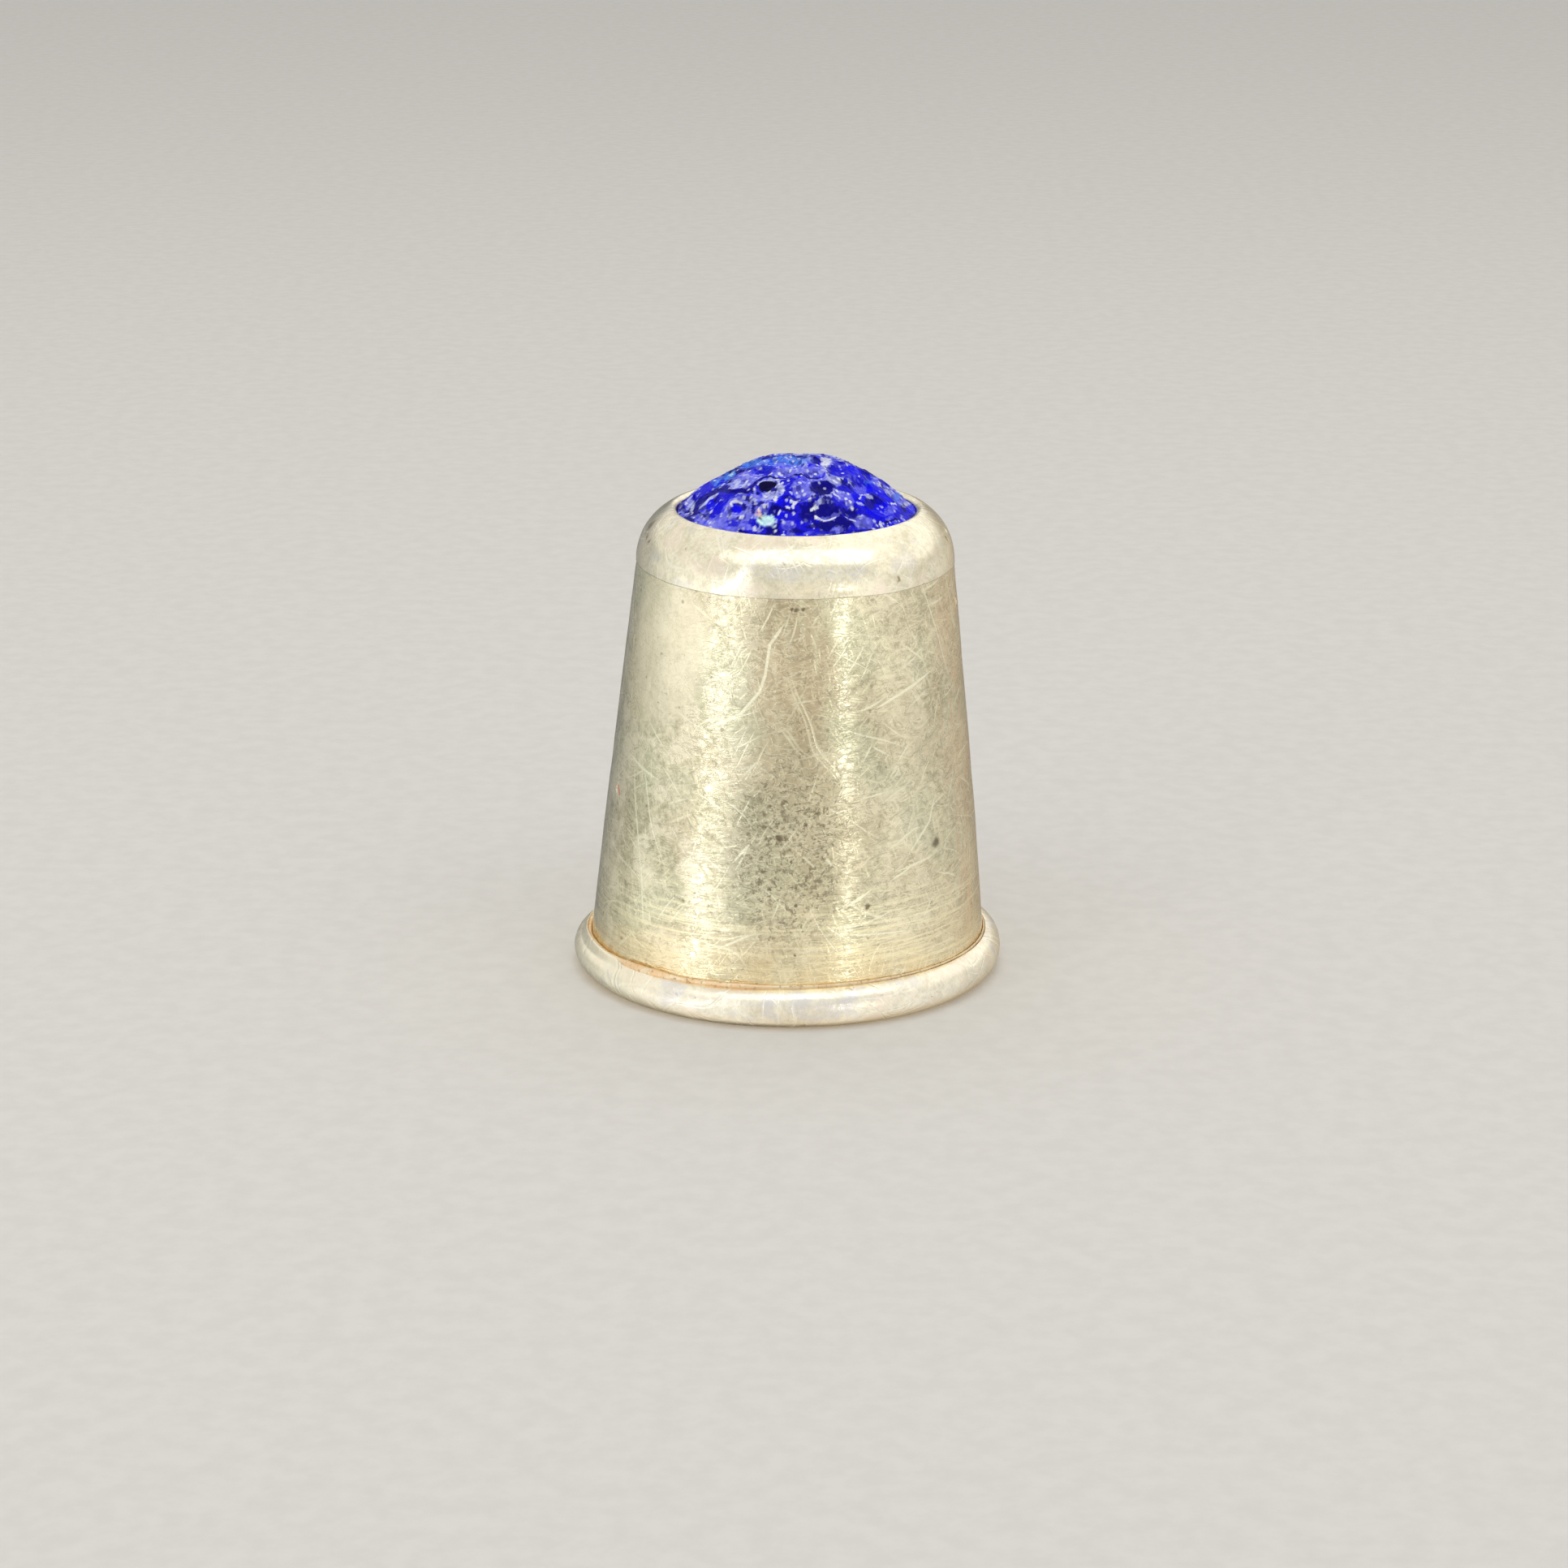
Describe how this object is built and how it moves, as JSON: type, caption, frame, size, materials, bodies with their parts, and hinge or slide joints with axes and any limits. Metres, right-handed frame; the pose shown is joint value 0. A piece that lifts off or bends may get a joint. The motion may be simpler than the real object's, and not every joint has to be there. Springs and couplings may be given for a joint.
{
  "type": "thimble",
  "caption": "Stone-top sewing thimble: conical silver wall, rounded rim at the foot, rounded bezel collar and a low dimpled blue glass cap.",
  "frame": {"origin": "centre of the foot plane, where the thimble stands on a table, on the axis of the cone", "axes": "+Z along the cone's axis from the open foot to the glass cap; the piece is turned about Z, so +X and +Y are equal; +Y points away from the viewer of the front"},
  "size_m": [0.0186, 0.0186, 0.0224],
  "materials": {
    "wall_silver": "worn silver, turned, covered in hairline scratches and small dents",
    "rim_silver": "worn silver, rubbed bright on its crown",
    "seam_solder": "tarnished solder, orange brown",
    "collar_silver": "worn silver, smooth rounded shoulder with fine scratches",
    "plate_silver": "plain sheet, dull and slightly tarnished",
    "setting_cement": "hard setting cement",
    "backing_foil": "crumpled bright metal foil",
    "cap_glass": "dimpled cobalt blue glass over foil, reads opaque, with pale flashes and chips"
  },
  "bodies": {
    "root": {"cone_wall": "wall_silver", "rim_ring": "rim_silver", "rim_solder_seam": "seam_solder", "bezel_collar": "collar_silver", "back_plate": "plate_silver", "cement_bed": "setting_cement", "foil_backing": "backing_foil", "glass_cap": "cap_glass"}
  },
  "joints": []
}
